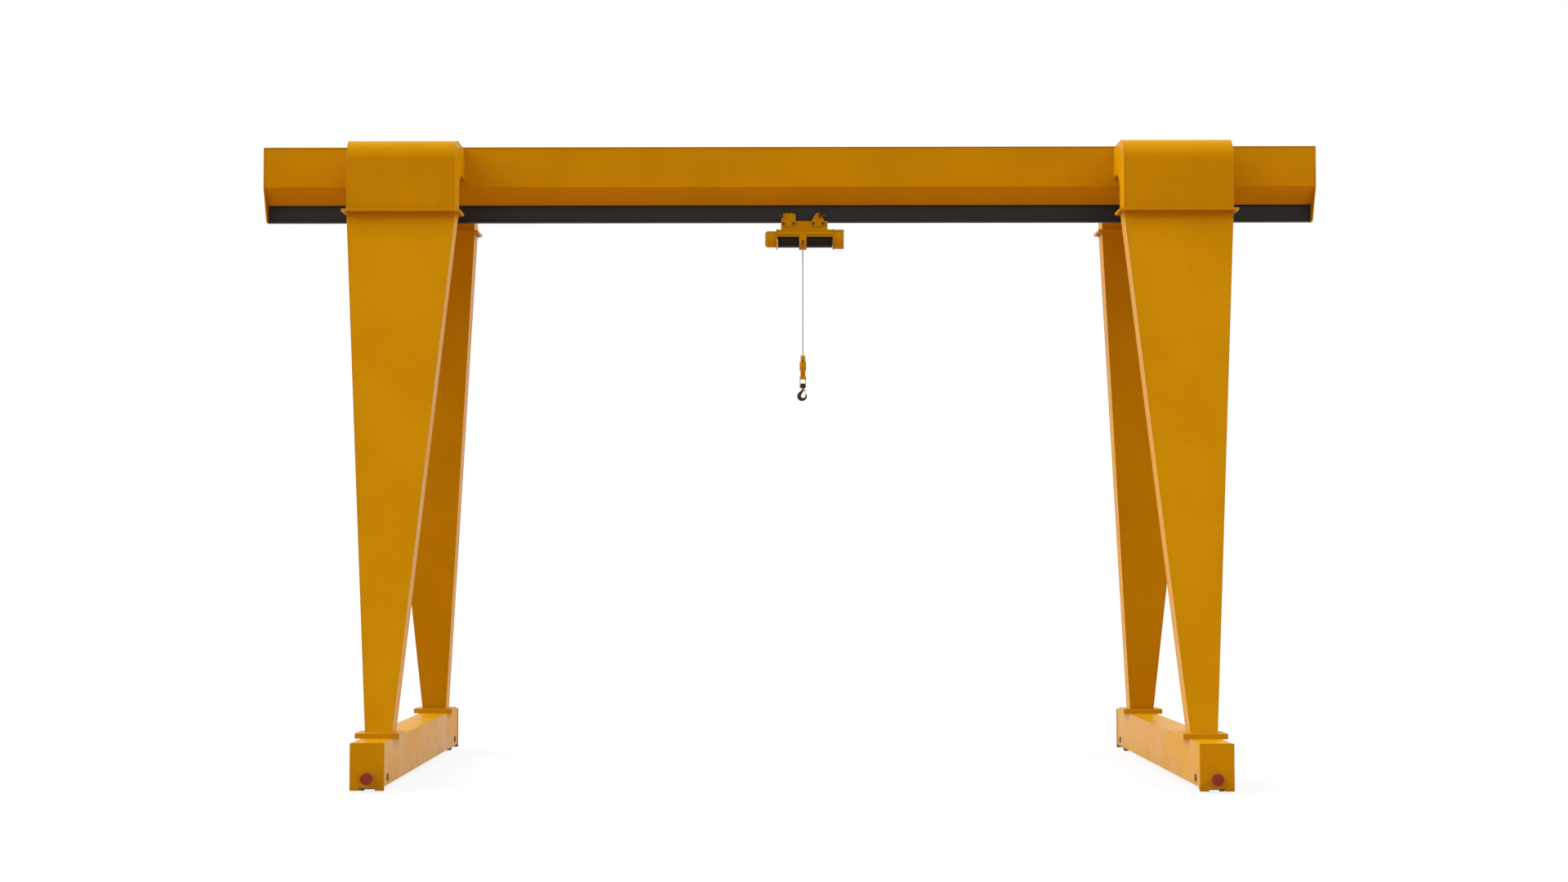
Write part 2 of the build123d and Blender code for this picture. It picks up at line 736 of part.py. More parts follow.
# Crosshead: a round block on two trunnions, bored from below for the hook's shank
with BuildPart() as crosshead:
    with BuildSketch(Plane.XY.offset(strap_bottom_z)):
        with Locations((rope_x, 0)):
            Circle(crosshead_r)
    extrude(amount=crosshead_top_z - strap_bottom_z)
    with BuildSketch(Plane.YZ.offset(rope_x - strap_face_x - strap_t)):
        with Locations((0, trunnion_z)):
            Circle(trunnion_r)
    extrude(amount=2 * (strap_face_x + strap_t))
    with BuildSketch(Plane.XY.offset(strap_bottom_z)):
        with Locations((rope_x, 0)):
            Circle(shank_r + running_gap)
    extrude(amount=shank_top_z + 1 - strap_bottom_z, mode=Mode.SUBTRACT)
crosshead.part.label = "crosshead"
export_step(crosshead.part, "parts/crosshead.step")

# Hook: forged, thick at the back of the bowl and thin at the tip, drafted on both faces
neck_top_z = strap_bottom_z - 5
bowl_start = (bowl_dx + bowl_r * cos(radians(140)), bowl_z + bowl_r * sin(radians(140)))
bowl_end = (bowl_dx + bowl_r * cos(radians(375)), bowl_z + bowl_r * sin(radians(375)))
bowl_floor = (bowl_dx, bowl_z - bowl_r)
back_start = (back_dx + back_r * cos(radians(138)), back_z + back_r * sin(radians(138)))
back_floor = (back_dx + back_r * cos(radians(256)), back_z + back_r * sin(radians(256)))
with BuildPart() as hook:
    with BuildSketch(Plane.XZ):
        with BuildLine():
            Polyline(
                bowl_start,
                neck_inner,
                (shank_r, neck_shoulder_z),
                (shank_r, neck_top_z),
                (-shank_r, neck_top_z),
                neck_outer,
                back_start,
            )
            ThreePointArc(back_start, back_floor, tip_outer)
            ThreePointArc(tip_outer, tip_top, tip_inner)
            Line(tip_inner, bowl_end)
            ThreePointArc(bowl_end, bowl_floor, bowl_start)
        make_face()
    extrude(amount=hook_core_half, both=True)
    cheeks = hook.faces().sort_by(Axis.Y)
    for cheek in (cheeks[0], cheeks[-1]):
        extrude(cheek, amount=hook_thickness / 2 - hook_core_half, taper=hook_draft)
    with BuildSketch(Plane.XY.offset(neck_top_z - shank_root)):
        Circle(shank_r)
    extrude(amount=shank_top_z - neck_top_z + shank_root)
    with BuildSketch(Plane.XZ.offset(-hook_thickness)):
        with Locations((latch_pin_dx, latch_pin_z)):
            Circle(latch_pin_r + running_gap)
    extrude(amount=2 * hook_thickness, mode=Mode.SUBTRACT)
hook = hook.part.moved(Location((rope_x, 0, 0)))
hook.label = "hook"
export_step(hook, "parts/hook.step")

# Latch: a bent strip over the hook's mouth, with cheeks and a pin through the hook's neck
cheek_y = hook_thickness / 2 + latch_side_gap
with BuildPart() as hook_latch:
    with BuildSketch(Plane.XZ):
        with BuildLine():
            outside = Spline((18, 6006), (35, 5996), (41, 5968), (36, 5938))
            Line(outside @ 1, (36 - latch_t, 5938))
            inside = Spline((36 - latch_t, 5938), (41 - latch_t, 5968), (31, 5992), (18, 6001))
            Line(inside @ 1, outside @ 0)
        make_face()
    extrude(amount=cheek_y + latch_cheek_t, both=True)
    for cheek_plane in (Plane.XZ.offset(cheek_y), Plane.XZ.offset(-cheek_y - latch_cheek_t)):
        with BuildSketch(cheek_plane):
            with BuildLine():
                Polyline(
                    (18, 6006),
                    (35, 5996),
                    (37, 5975),
                    (latch_pin_dx, latch_pin_z - latch_eye),
                    (latch_pin_dx - latch_eye, latch_pin_z),
                    (latch_pin_dx, latch_pin_z + latch_eye),
                    close=True,
                )
            make_face()
        extrude(amount=latch_cheek_t)
    with BuildSketch(Plane.XZ.offset(-cheek_y)):
        with Locations((latch_pin_dx, latch_pin_z)):
            Circle(latch_pin_r)
    extrude(amount=2 * cheek_y)
hook_latch = hook_latch.part.moved(Location((rope_x, 0, 0)))
hook_latch.label = "hook_latch"
export_step(hook_latch, "parts/hook_latch.step")
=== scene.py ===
import math

import bmesh
import bpy
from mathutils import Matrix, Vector


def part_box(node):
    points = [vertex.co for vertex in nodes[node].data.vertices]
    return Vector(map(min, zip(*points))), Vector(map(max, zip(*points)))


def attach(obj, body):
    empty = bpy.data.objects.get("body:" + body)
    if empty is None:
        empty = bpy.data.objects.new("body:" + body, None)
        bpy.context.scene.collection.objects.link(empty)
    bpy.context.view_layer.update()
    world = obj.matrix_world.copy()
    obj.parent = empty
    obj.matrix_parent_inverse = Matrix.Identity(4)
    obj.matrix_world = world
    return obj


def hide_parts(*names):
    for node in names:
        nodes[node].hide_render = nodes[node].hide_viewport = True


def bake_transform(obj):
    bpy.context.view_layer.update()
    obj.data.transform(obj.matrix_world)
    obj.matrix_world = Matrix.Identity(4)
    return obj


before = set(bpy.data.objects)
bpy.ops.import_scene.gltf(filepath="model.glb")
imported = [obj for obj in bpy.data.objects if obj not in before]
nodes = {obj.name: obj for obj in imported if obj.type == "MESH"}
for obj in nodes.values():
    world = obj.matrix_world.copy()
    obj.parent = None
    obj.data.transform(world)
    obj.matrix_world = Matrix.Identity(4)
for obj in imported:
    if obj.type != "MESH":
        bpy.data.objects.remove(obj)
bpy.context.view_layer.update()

# The camera stands in front of the crane, a little over head height. It looks slightly up and
# to the left, and its lens is shifted so that the crane sits left of the picture's middle.
CAMERA_PLACE = (-0.318, -43.172, 3.2695)
CAMERA_PITCH = 0.0444
CAMERA_TURN = 0.0108
lens = bpy.data.cameras.new("camera")
lens.sensor_width = 36
lens.lens = 62.47
lens.shift_x = 0.02854
lens.shift_y = -0.0001
lens.clip_end = 600
camera = bpy.data.objects.new("camera", lens)
camera.location = CAMERA_PLACE
camera.rotation_euler = (math.pi / 2 + CAMERA_PITCH, 0, CAMERA_TURN)
bpy.context.scene.collection.objects.link(camera)
bpy.context.scene.camera = camera
bpy.context.scene.view_settings.view_transform = "Standard"


# Carriages: two box beams of welded plate that carry the legs and run on the rails. They are
# sprayed in yellow machine enamel over primer, and gather brake dust and grease low down.
class Wire:
    """One output of a node. Sums and products of wires add Math nodes."""

    def __init__(self, finish, node, out):
        self.finish = finish
        self.node = node
        self.out = out

    def join(self, operation, first, second):
        return self.finish.add("ShaderNodeMath", {"operation": operation}, {0: first, 1: second})

    def __add__(self, other):
        return self.join("ADD", self, other)

    def __radd__(self, other):
        return self.join("ADD", other, self)

    def __sub__(self, other):
        return self.join("SUBTRACT", self, other)

    def __rsub__(self, other):
        return self.join("SUBTRACT", other, self)

    def __mul__(self, other):
        return self.join("MULTIPLY", self, other)

    def __rmul__(self, other):
        return self.join("MULTIPLY", other, self)

    def __gt__(self, other):
        return self.join("GREATER_THAN", self, other)

    def __lt__(self, other):
        return self.join("LESS_THAN", self, other)

    def __abs__(self):
        return self.finish.add("ShaderNodeMath", {"operation": "ABSOLUTE"}, {0: self})


class Finish:
    """A material, or the world that is given, put together node by node."""

    def __init__(self, name, world=None):
        self.material = world or bpy.data.materials.new(name)
        self.material.use_nodes = True
        self.tree = self.material.node_tree
        self.tree.nodes.clear()
        self.place = self.add("ShaderNodeTexCoord", out="Object")

    def add(self, kind, settings=None, sockets=None, out=0):
        node = self.tree.nodes.new(kind)
        for name, value in (settings or {}).items():
            setattr(node, name, value)
        for name, value in (sockets or {}).items():
            if isinstance(value, Wire):
                self.tree.links.new(value.node.outputs[value.out], node.inputs[name])
            else:
                node.inputs[name].default_value = value
        return Wire(self, node, out)

    def mottle(self, scale, detail=2.0, stretch=(1, 1, 1)):
        """Cloudy noise from 0 to 1, stretched along the axes."""
        place = self.add("ShaderNodeMapping", None, {"Vector": self.place, "Scale": stretch})
        sockets = {"Vector": place, "Scale": scale, "Detail": detail}
        return self.add("ShaderNodeTexNoise", None, sockets)

    def fade(self, value, start, end):
        """Runs from 0 at start to 1 at end."""
        sockets = {"Value": value, "From Min": start, "From Max": end}
        return self.add("ShaderNodeMapRange", {"interpolation_type": "SMOOTHSTEP"}, sockets)

    def axis(self, letter):
        """The place along one axis, in metres."""
        return self.add("ShaderNodeSeparateXYZ", None, {0: self.place}, out="XYZ".index(letter))

    def blend(self, factor, first, second):
        sockets = {"Factor": factor, 6: first, 7: second}
        return self.add("ShaderNodeMix", {"data_type": "RGBA"}, sockets, out=2)

    def bump(self, height, strength, depth):
        sockets = {"Strength": strength, "Distance": depth, "Height": height}
        return self.add("ShaderNodeBump", None, sockets)

    def surface(self, **sockets):
        named = {name.replace("_", " "): value for name, value in sockets.items()}
        shader = self.add("ShaderNodeBsdfPrincipled", None, named)
        self.add("ShaderNodeOutputMaterial", None, {"Surface": shader})
        return self.material


def enamel(name, low_dirt):
    """Yellow machine enamel: clouded film, orange peel, rounded and rubbed edges.

    Grease and dust darken it from the floor up to the height low_dirt.
    """
    thin_film, full_film = (0.56, 0.262, 0.001, 1), (0.61, 0.29, 0.0014, 1)
    rain_streak, pinhole = (0.37, 0.15, 0.002, 1), (0.42, 0.18, 0.002, 1)
    bare_edge, grime = (0.42, 0.26, 0.12, 1), (0.12, 0.08, 0.04, 1)
    finish = Finish(name)
    cloud = finish.fade(finish.mottle(0.9, 4.0), 0.3, 0.7)
    streak = finish.fade(finish.mottle(2.2, 3.0, (1, 1, 0.12)), 0.52, 0.8)
    speck = finish.fade(finish.mottle(70), 0.6, 0.8)
    base = finish.blend(cloud, thin_film, full_film)
    base = finish.blend(streak * 0.1, base, rain_streak)
    base = finish.blend(speck * 0.08, base, pinhole)
    rounded = finish.add("ShaderNodeBevel", {"samples": 4}, {"Radius": 0.005})
    facing = finish.add("ShaderNodeNewGeometry", out="Normal")
    agree = finish.add(
        "ShaderNodeVectorMath", {"operation": "DOT_PRODUCT"}, {0: rounded, 1: facing}, out="Value"
    )
    rub = finish.fade(agree, 0.97, 0.8) * finish.fade(finish.mottle(14, 4.0), 0.45, 0.62)
    base = finish.blend(rub * 0.55, base, bare_edge)
    if low_dirt:
        low = finish.fade(finish.axis("Z"), low_dirt, 0.0)
        patch = finish.fade(finish.mottle(6, 5.0), 0.35, 0.7)
        base = finish.blend(low * patch * 0.3, base, grime)
    sockets = {"Strength": 0.06, "Distance": 0.0006, "Height": finish.mottle(220, 1.0)}
    peel = finish.add("ShaderNodeBump", None, {**sockets, "Normal": rounded})
    return finish.surface(
        Base_Color=base,
        Roughness=0.33 + 0.12 * cloud + 0.2 * rub,
        Normal=peel,
        Specular_IOR_Level=0.07,
        Specular_Tint=(1.0, 0.72, 0.25, 1),
    )


def paint_node(name, material):
    """Puts the finish on a CAD node."""
    nodes[name].data.materials.clear()
    nodes[name].data.materials.append(material)


def settle(form, name, body, material, smooth=False):
    """Makes a piece from a finished bmesh, and lets it ride on a body."""
    mesh = bpy.data.meshes.new(name)
    form.to_mesh(mesh)
    form.free()
    mesh.materials.append(material)
    if smooth:
        mesh.shade_smooth()
    piece = bpy.data.objects.new(name, mesh)
    bpy.context.scene.collection.objects.link(piece)
    if body:
        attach(piece, body)
    return piece


def weld_beads(name, body, material, seams, radius):
    """Runs a rounded weld bead along each seam, given by the points it passes."""
    line = bpy.data.curves.new(name, "CURVE")
    line.dimensions = "3D"
    line.bevel_depth = radius
    line.bevel_resolution = 1
    line.use_fill_caps = True
    for seam in seams:
        spline = line.splines.new("POLY")
        spline.points.add(len(seam) - 1)
        for point, place in zip(spline.points, seam):
            point.co = (*place, 1)
    holder = bpy.data.objects.new(name, line)
    mesh = bpy.data.meshes.new_from_object(holder)
    bpy.data.objects.remove(holder)
    form = bmesh.new()
    form.from_mesh(mesh)
    bpy.data.meshes.remove(mesh)
    return settle(form, name, body, material, smooth=True)


yellow_low = enamel("yellow_enamel_low", low_dirt=0.55)
weld_finish = Finish("painted_weld")
ripple = weld_finish.add(
    "ShaderNodeTexWave",
    {"bands_direction": "DIAGONAL"},
    {"Vector": weld_finish.place, "Scale": 40.0, "Distortion": 1.5, "Detail": 1.0},
)
bead_yellow = weld_finish.surface(
    Base_Color=weld_finish.blend(ripple * 0.25, (0.59, 0.28, 0.0014, 1), (0.44, 0.2, 0.0014, 1)),
    Roughness=0.42,
    Normal=weld_finish.bump(ripple, 0.7, 0.002),
    Specular_IOR_Level=0.22,
)
SIDES = {"left": -1, "right": 1}
ENDS = {"front": -1, "rear": 1}
RAIL_X = 6.0
PAD_TOP = 0.783
PAD_HALF_DEPTH = 0.3235
FOOT_INNER, FOOT_OUTER, FOOT_Y = 5.797, 6.187, 3.298
LEG_HALF_DEPTH = 0.22
for side, sx in SIDES.items():
    low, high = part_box(f"carriage_{side}")
    paint_node(f"carriage_{side}", yellow_low)
    paint_node(f"carriage_end_plates_{side}", yellow_low)
    paint_node(f"foot_pads_{side}", yellow_low)
    seams = []
    for y in (low[1], high[1]):
        corners = ((low[0], low[2]), (low[0], high[2]), (high[0], high[2]), (high[0], low[2]))
        seams.append([(x, y, z) for x, z in corners])
    for sy in ENDS.values():
        for y in (sy * FOOT_Y - PAD_HALF_DEPTH, sy * FOOT_Y + PAD_HALF_DEPTH):
            seams.append([(low[0], y, high[2]), (high[0], y, high[2])])
        corners = [(x, -LEG_HALF_DEPTH) for x in (FOOT_INNER, FOOT_OUTER)]
        corners += [(x, LEG_HALF_DEPTH) for x in (FOOT_OUTER, FOOT_INNER)]
        corners.append(corners[0])
        seams.append([(sx * x, sy * FOOT_Y + dy, PAD_TOP) for x, dy in corners])
    weld_beads(f"carriage_welds_{side}", "crane_frame", bead_yellow, seams, radius=0.006)

# Travel wheels: cast steel with two flanges, turned on the tread. The castings are painted
# black, and the treads have a dull red primer that the rail wears through.
TREAD_HALF_WIDTH = 0.0935
wheel_finish = Finish("wheel_casting")
across = abs(abs(wheel_finish.axis("X")) - RAIL_X)
tread = across < TREAD_HALF_WIDTH
grit = wheel_finish.mottle(30, 4.0)
casting = wheel_finish.blend(grit, (0.014, 0.014, 0.014, 1), (0.035, 0.032, 0.028, 1))
primer = wheel_finish.blend(grit, (0.15, 0.016, 0.010, 1), (0.21, 0.034, 0.022, 1))
wheel_steel = wheel_finish.surface(
    Base_Color=wheel_finish.blend(tread, casting, primer),
    Metallic=tread * 0.5,
    Roughness=0.5 - 0.12 * tread + 0.1 * grit,
    Normal=wheel_finish.bump(grit, 0.2, 0.002),
)
for end in ENDS:
    for side in SIDES:
        paint_node(f"travel_wheel_{end}_{side}", wheel_steel)

# Wheel axles: ground steel shafts. Each end is closed by a round keeper cap in blue-black
# oxide finish, held by three hexagon screws.
oxide_finish = Finish("black_oxide")
smudge = oxide_finish.mottle(40, 3.0)
black_oxide = oxide_finish.surface(
    Base_Color=oxide_finish.blend(smudge, (0.022, 0.028, 0.038, 1), (0.045, 0.052, 0.066, 1)),
    Metallic=0.6,
    Roughness=0.38 + 0.15 * smudge,
    Normal=oxide_finish.bump(oxide_finish.mottle(300, 1.0), 0.15, 0.0004),
)


def hoop(radius, count):
    """Points (across, up) round a circle, anticlockwise from the top."""
    angles = [math.tau * index / count for index in range(count)]
    return [(-radius * math.sin(angle), radius * math.cos(angle)) for angle in angles]


def loft(form, rings, closed=True):
    """Skins rings of points that run anticlockwise, seen from the side of the last one."""
    rings = [[form.verts.new(point) for point in ring] for ring in rings]
    for first, second in zip(rings, rings[1:]):
        for turn in range(len(first)):
            after = (turn + 1) % len(first)
            form.faces.new((first[after], second[after], second[turn], first[turn]))
    if closed:
        form.faces.new(rings[0][::-1])
        form.faces.new(rings[-1])


def hexagon_heads(form, places, radius, height, facing):
    """Adds a chamfered hexagon bolt head at each place, standing along facing."""
    facing = Vector(facing)
    turned = Vector((0, 0, 1)).rotation_difference(facing).to_matrix()
    chamfer = radius * 0.12
    crown = radius - chamfer / math.cos(math.pi / 6)
    for place in places:
        rings = []
        for reach, rise in ((radius, 0), (radius, height - chamfer), (crown, height)):
            corners = [Vector((across, up, rise)) for across, up in hoop(reach, 6)]
            rings.append([Vector(place) + turned @ corner for corner in corners])
        loft(form, rings)


AXLE_Y, AXLE_Z = 4.17, 0.194
CAP_FACE = 0.2445
CAP_SCREW_CIRCLE = 0.034
for side, sx in SIDES.items():
    paint_node(f"wheel_axles_{side}", black_oxide)
    form = bmesh.new()
    for sy in ENDS.values():
        for out in (-1, 1):
            for angle in (math.radians(turn) for turn in (90, 210, 330)):
                place = (
                    sx * RAIL_X + out * CAP_FACE,
                    sy * AXLE_Y + CAP_SCREW_CIRCLE * math.cos(angle),
                    AXLE_Z + CAP_SCREW_CIRCLE * math.sin(angle),
                )
                hexagon_heads(form, [place], radius=0.0095, height=0.007, facing=(out, 0, 0))
    settle(form, f"axle_cap_screws_{side}", "crane_frame", black_oxide)

# Carriage buffers: moulded rubber blocks, dull red, each held to its end plate by a pressed
# steel clamp ring round its root.
rubber_finish = Finish("red_rubber")
bloom = rubber_finish.mottle(12, 4.0)
rubber = rubber_finish.surface(
    Base_Color=rubber_finish.blend(
        rubber_finish.fade(bloom, 0.3, 0.75), (0.21, 0.022, 0.013, 1), (0.28, 0.036, 0.022, 1)
    ),
    Roughness=0.62 + 0.15 * bloom,
    Normal=rubber_finish.bump(rubber_finish.mottle(160), 0.25, 0.0008),
    Specular_IOR_Level=0.3,
)
END_PLATE_Y, BUFFER_Z = 4.6, 0.205
RING_OUTER, RING_INNER, RING_THICKNESS = 0.087, 0.08, 0.007
for side, sx in SIDES.items():
    paint_node(f"carriage_buffers_{side}", rubber)
    form = bmesh.new()
    for sy in ENDS.values():
        root, face = sy * END_PLATE_Y, sy * (END_PLATE_Y + RING_THICKNESS)
        rings = []
        for radius, y in ((RING_OUTER, root), (RING_OUTER, face), (RING_INNER, face)):
            circle = hoop(radius, 48)
            rings.append([(sx * RAIL_X - sy * across, y, BUFFER_Z + up) for across, up in circle])
        loft(form, rings, closed=False)
    settle(form, f"buffer_clamp_rings_{side}", "crane_frame", yellow_low)

# Legs: tapered boxes of four plates, fillet welded along their corners, with a head plate
# that bolts to the saddle above.
yellow = enamel("yellow_enamel", low_dirt=0)
HEAD_INNER, HEAD_OUTER, HEAD_Y, HEAD_Z = 5.134, 6.806, 1.375, 8.644
for side, sx in SIDES.items():
    for end, sy in ENDS.items():
        paint_node(f"leg_{end}_{side}", yellow)
        seams = []
        for dy in (-LEG_HALF_DEPTH, LEG_HALF_DEPTH):
            for foot_x, head_x in ((FOOT_OUTER, HEAD_OUTER), (FOOT_INNER, HEAD_INNER)):
                foot = (sx * foot_x, sy * FOOT_Y + dy, PAD_TOP)
                head = (sx * head_x, sy * HEAD_Y + dy, HEAD_Z)
                seams.append([foot, head])
        weld_beads(f"leg_welds_{end}_{side}", "crane_frame", bead_yellow, seams, radius=0.004)

# Joint plates: the leg's head plate and the saddle's base plate, drawn together by hexagon
# bolts all round, which are painted over with the rest.
SADDLE_FOOT_Z = 8.68
SADDLE_FOOT_Y = (1.122, 1.607)
LEG_HEAD_Y = (1.155, 1.595)
SIDE_BOLT_INSET, END_BOLT_INSET = 0.045, 0.035


def spread(start, stop, count):
    """Evenly spaced places from start to stop."""
    return [start + index * (stop - start) / (count - 1) for index in range(count)]


for side, sx in SIDES.items():
    for end, sy in ENDS.items():
        name = f"joint_plates_{end}_{side}"
        paint_node(name, yellow)
        low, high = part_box(name)
        form = bmesh.new()
        columns = spread(low[0] + 0.08, high[0] - 0.08, count=11)
        rows = spread(low[1] + 0.17, high[1] - 0.17, count=3)
        sides = (low[1] + SIDE_BOLT_INSET, high[1] - SIDE_BOLT_INSET)
        ends = (low[0] + END_BOLT_INSET, high[0] - END_BOLT_INSET)
        places = [(x, y) for x in columns for y in sides] + [(x, y) for x in ends for y in rows]
        for z, up, height in ((high[2], 1, 0.013), (low[2], -1, 0.016)):
            heads = [(x, y, z) for x, y in places]
            hexagon_heads(form, heads, radius=0.0175, height=height, facing=(0, 0, up))
        settle(form, f"joint_bolts_{end}_{side}", "crane_frame", yellow)
        seams = []
        for z, (near, far) in ((high[2], SADDLE_FOOT_Y), (low[2], LEG_HEAD_Y)):
            corners = [(x, near) for x in (HEAD_INNER, HEAD_OUTER)]
            corners += [(x, far) for x in (HEAD_OUTER, HEAD_INNER)]
            corners.append(corners[0])
            seams.append([(sx * x, sy * y, z) for x, y in corners])
        weld_beads(f"joint_welds_{end}_{side}", "crane_frame", bead_yellow, seams, radius=0.006)

# Saddles: bent box brackets that bring each leg's load up, over and into the girder web. The
# rolled outer and inner plates are welded to two flat cheeks.
SADDLE_TOP = 9.782
SADDLE_UNDER = 9.316
OUTER_BEND = (1.287, 9.462, 0.32)
INNER_BEND = (0.792, 8.986, 0.33)
WEB_Y = 0.39


def bend(sy, centre_y, centre_z, radius, steps=12):
    """Points (y, z) on the quarter turn of a bent plate, from upright to level."""
    points = []
    for step in range(steps + 1):
        turn = math.radians(90 * step / steps)
        y = sy * (centre_y + radius * math.cos(turn))
        points.append((y, centre_z + radius * math.sin(turn)))
    return points


for side, sx in SIDES.items():
    for end, sy in ENDS.items():
        paint_node(f"saddle_{end}_{side}", yellow)
        near, far = (sy * y for y in SADDLE_FOOT_Y)
        outside = [(far, SADDLE_FOOT_Z)] + bend(sy, *OUTER_BEND) + [(sy * WEB_Y, SADDLE_TOP)]
        inside = [(near, SADDLE_FOOT_Z)] + bend(sy, *INNER_BEND) + [(sy * WEB_Y, SADDLE_UNDER)]
        toe = sy * (WEB_Y + 0.002)
        cheeks = (sx * HEAD_INNER, sx * HEAD_OUTER)
        seams = []
        for x in cheeks:
            seams += [[(x, y, z) for y, z in line] for line in (outside, inside)]
            seams.append([(x, toe, SADDLE_UNDER), (x, toe, SADDLE_TOP)])
        for z in (SADDLE_UNDER, SADDLE_TOP):
            seams.append([(x, toe, z) for x in cheeks])
        weld_beads(f"saddle_welds_{end}_{side}", "crane_frame", bead_yellow, seams, radius=0.005)

# Girder: a folded trough closed by a top plate, shop welded along its whole length, with a
# shaped plate at each end.
GIRDER_TOP, FOLD_Z, TROUGH_FLOOR = 9.81, 9.186, 8.945
FLOOR_HALF_WIDTH = 0.075
BEAM_WELD_Y = 0.064
for name in ("trough", "top_plate", "end_plate_left", "end_plate_right"):
    paint_node(f"girder_{name}", yellow)
low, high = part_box("girder_trough")
seams = []
for sy in ENDS.values():
    web, beam_edge = sy * WEB_Y, sy * BEAM_WELD_Y
    seams.append([(low[0], web, high[2]), (high[0], web, high[2])])
    seams.append([(low[0], beam_edge, TROUGH_FLOOR), (high[0], beam_edge, TROUGH_FLOOR)])
    for x in (low[0], high[0]):
        corners = ((web, GIRDER_TOP), (web, FOLD_Z), (sy * FLOOR_HALF_WIDTH, TROUGH_FLOOR))
        seams.append([(x, y, z) for y, z in corners])
weld_beads("girder_welds", "crane_frame", bead_yellow, seams, radius=0.006)

# Runway beam: a rolled I section in dark grey enamel. The trolley wheels keep two bright
# tracks on the lower flange, and the lower flange's edge is coloured brown in patches.
FLANGE_EDGE_Z = (8.675, 8.666)
TRACK_Y = (0.02, 0.056)
TRACK_Z = (8.677, 8.6805)
beam_finish = Finish("dark_enamel")
haze = beam_finish.fade(beam_finish.mottle(3, 4.0, (0.3, 1, 1)), 0.3, 0.7)
beam_base = beam_finish.blend(haze, (0.017, 0.0185, 0.019, 1), (0.023, 0.0235, 0.0225, 1))
height = beam_finish.axis("Z")
edge = beam_finish.fade(height, *FLANGE_EDGE_Z)
# The lower flange's edge is coloured a patchy dark brown.
brown_patch = beam_finish.fade(beam_finish.mottle(9, 4.0, (0.4, 1, 1)), 0.35, 0.7)
beam_base = beam_finish.blend(edge * brown_patch * 0.8, beam_base, (0.075, 0.028, 0.01, 1))
span = abs(beam_finish.axis("Y"))
in_track = (span > TRACK_Y[0]) * (span < TRACK_Y[1])
track = in_track * (height < TRACK_Z[1]) * (height > TRACK_Z[0])
beam_base = beam_finish.blend(track, beam_base, (0.33, 0.32, 0.30, 1))
dark_enamel = beam_finish.surface(
    Base_Color=beam_base,
    Metallic=track * 0.9,
    Roughness=0.45 + 0.12 * haze - 0.15 * track,
    Normal=beam_finish.bump(beam_finish.mottle(240, 1.0), 0.1, 0.0005),
    Specular_IOR_Level=0.25,
)
paint_node("runway_beam", dark_enamel)

# Hoist trolley: painted plates on each side of a folded cradle, hung from four pairs of
# rollers. Tie bolts with round heads hold the plates together.
for name in ("trolley_plates_front", "trolley_plates_rear", "hoist_cradle"):
    paint_node(name, yellow)
steel_finish = Finish("dark_steel")
scale_marks = steel_finish.mottle(24, 4.0)
dark_steel = steel_finish.surface(
    Base_Color=steel_finish.blend(scale_marks, (0.018, 0.0185, 0.017, 1), (0.036, 0.035, 0.031, 1)),
    Metallic=0.35,
    Roughness=0.42 + 0.2 * scale_marks,
    Normal=steel_finish.bump(steel_finish.mottle(90, 3.0), 0.3, 0.0008),
    Specular_IOR_Level=0.35,
)
paint_node("trolley_ties", black_oxide)
paint_node("trolley_wheels", dark_steel)
paint_node("buffer_brackets", dark_steel)
paint_node("trolley_buffers", rubber)

# Hoist body: a rolled sheet casing between two cast rings, with the gearbox on the left and
# the motor on the right. Screws hold both covers.
for name in ("drum_casing", "casing_rings", "gearbox_housing", "motor_housing", "rope_guide"):
    paint_node(name, yellow)
DRUM_Z = 8.4
# A cover's face, the way it faces, and the circle and number of its screws.
GEARBOX_COVER = (-0.368, -1, 0.085, 8)
MOTOR_COVER = (0.876, 1, 0.138, 10)
form = bmesh.new()
for face_x, out, circle, count in (GEARBOX_COVER, MOTOR_COVER):
    for step in range(count):
        angle = math.tau * (step + 0.5) / count
        place = (face_x, circle * math.cos(angle), DRUM_Z + circle * math.sin(angle))
        hexagon_heads(form, [place], radius=0.0085, height=0.006, facing=(out, 0, 0))
settle(form, "cover_screws", "hoist", black_oxide)

# Rope drum: a steel shell with the hoist rope wound on it in one even layer, from both ends
# towards the guide in the middle.
ROPE_X = 0.227
SHAFT_R, SHELL_R = 0.03, 0.125
GUIDE_HALF_WIDTH = 0.022
PITCH = 0.0134
TURN_SECTION = ((0.08, 0.004), (0.27, 0.0105), (0.5, 0.0128), (0.73, 0.0105), (0.92, 0.004))
rope_finish = Finish("greased_rope")
strand = rope_finish.add(
    "ShaderNodeTexWave",
    {"bands_direction": "DIAGONAL"},
    {"Vector": rope_finish.place, "Scale": 30.0, "Distortion": 0.5},
)
wound_rope = rope_finish.surface(
    Base_Color=rope_finish.blend(strand, (0.010, 0.008, 0.005, 1), (0.030, 0.024, 0.016, 1)),
    Metallic=0.3,
    Roughness=0.5,
    Normal=rope_finish.bump(strand, 0.5, 0.001),
    Specular_IOR_Level=0.25,
)
low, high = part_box("rope_drum")
points = [(low[0], SHAFT_R)]
for begin, stop in ((low[0], ROPE_X - GUIDE_HALF_WIDTH), (ROPE_X + GUIDE_HALF_WIDTH, high[0])):
    turns = int((stop - begin) / PITCH)
    step = (stop - begin) / turns
    points.append((begin, SHELL_R))
    for turn in range(turns):
        points += [(begin + (turn + share) * step, SHELL_R + rise) for share, rise in TURN_SECTION]
    points.append((stop, SHELL_R))
points.append((high[0], SHAFT_R))
rings = []
for x, radius in points:
    rings.append([(x, across, DRUM_Z + up) for across, up in hoop(radius, 48)])
form = bmesh.new()
